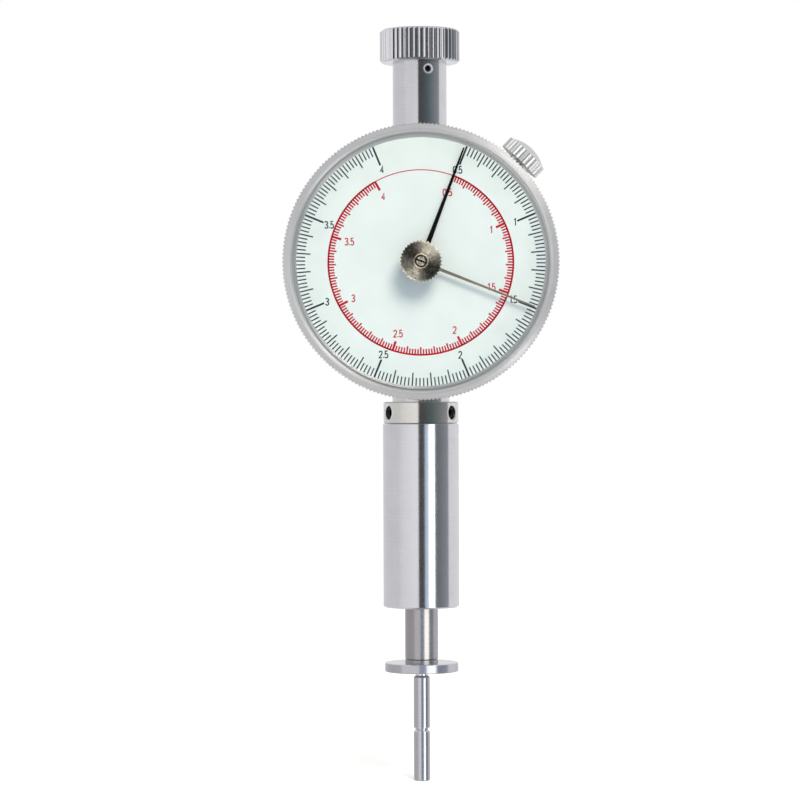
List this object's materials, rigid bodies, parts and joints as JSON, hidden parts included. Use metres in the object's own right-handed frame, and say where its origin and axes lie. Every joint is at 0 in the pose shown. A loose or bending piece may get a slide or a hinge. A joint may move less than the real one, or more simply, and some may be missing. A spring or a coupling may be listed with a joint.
{
  "type": "fruit hardness tester",
  "caption": "Hand-held dial force gauge with a sprung plunger, stop flange and thin probe pin that reads how hard fruit flesh is; turning bezel and a peak pointer.",
  "frame": {"origin": "on the plunger axis, half way up the spring sleeve", "axes": "+Z along the plunger axis from the probe to the top knob, -Y out of the dial towards the reader, +X to the dial's right"},
  "size_m": [0.058, 0.0302, 0.1602],
  "materials": {
    "satin_steel": "ground and polished stainless steel",
    "bezel_grey": "satin plating, warm grey",
    "bright_steel": "bright turned steel",
    "spring_steel": "drawn spring wire and strip",
    "black_screw": "black oxide",
    "brass": "turned brass",
    "nickel_brass": "nickel-plated brass, turned face",
    "dial_white": "smooth pale enamel with printed scales",
    "spacer_grey": "satin paint",
    "window_glass": "clear window",
    "pointer_black": "black enamel",
    "pointer_silver": "bare polished strip"
  },
  "bodies": {
    "case": {"case_body": "bezel_grey", "back_cover": "bezel_grey", "back_cover_screws": "bright_steel", "upper_stem": "satin_steel", "upper_guide_bush": "brass", "stem_set_screw": "black_screw", "top_knob": "satin_steel", "lower_stem": "satin_steel", "lower_guide_bush": "brass", "collar": "satin_steel", "collar_set_screws": "black_screw", "spring_sleeve": "satin_steel", "plunger_bush": "brass", "movement_plate": "brass", "plate_screws": "bright_steel", "arbor_bush": "brass", "guide_block": "brass", "guide_screws": "bright_steel", "snap_ring": "spring_steel", "main_spring": "spring_steel"},
    "bezel": {"bezel": "bezel_grey", "window_ring": "bezel_grey", "window": "window_glass", "dial_spacer": "spacer_grey", "dial_plate": "dial_white", "reset_bush": "brass"},
    "drive_pointer": {"pinion_arbor": "bright_steel", "drive_hub": "brass", "drive_pointer": "pointer_black", "carry_pin": "pointer_black"},
    "peak_pointer": {"reset_knob": "nickel_brass", "reset_screw": "nickel_brass", "reset_shaft": "bright_steel", "friction_washer": "spring_steel", "peak_pointer": "pointer_silver"},
    "plunger": {"plunger": "satin_steel", "stop_flange": "satin_steel", "probe_pin": "satin_steel", "rack_rod": "bright_steel", "rack_plate": "brass", "rack_screws": "bright_steel", "guide_pin": "bright_steel", "spring_seat": "bright_steel", "seat_clip": "spring_steel"},
    "lock_screw": {"lock_knob": "satin_steel", "lock_stud": "bright_steel"}
  },
  "joints": [
    {"name": "plunger_slide", "type": "slide", "parent": "case", "child": "plunger", "axis": [0, 0, 1], "range_m": [0, 0.00994], "stiffness_N_per_m": 340, "springref_m": -0.00141, "deforming": ["main_spring"]},
    {"name": "drive_pointer_turn", "type": "hinge", "parent": "case", "child": "drive_pointer", "pos_m": [0, 0, 0.05345], "axis": [0, 1, 0], "range_deg": [0, 316.5]},
    {"name": "bezel_turn", "type": "hinge", "parent": "case", "child": "bezel", "pos_m": [0, 0, 0.05345], "axis": [0, 1, 0], "continuous": true},
    {"name": "peak_pointer_turn", "type": "hinge", "parent": "bezel", "child": "peak_pointer", "pos_m": [0, 0, 0.05345], "axis": [0, 1, 0], "range_deg": [-90, 225]},
    {"name": "lock_screw_turn", "type": "hinge", "parent": "case", "child": "lock_screw", "pos_m": [0, -0.0073, 0.05345], "axis": [-0.6984, 0, -0.7157], "range_deg": [-360, 180]}
  ],
  "couplings": [
    {"joint": "drive_pointer_turn", "follows": "plunger_slide", "rad_per_m": 555.56}
  ]
}
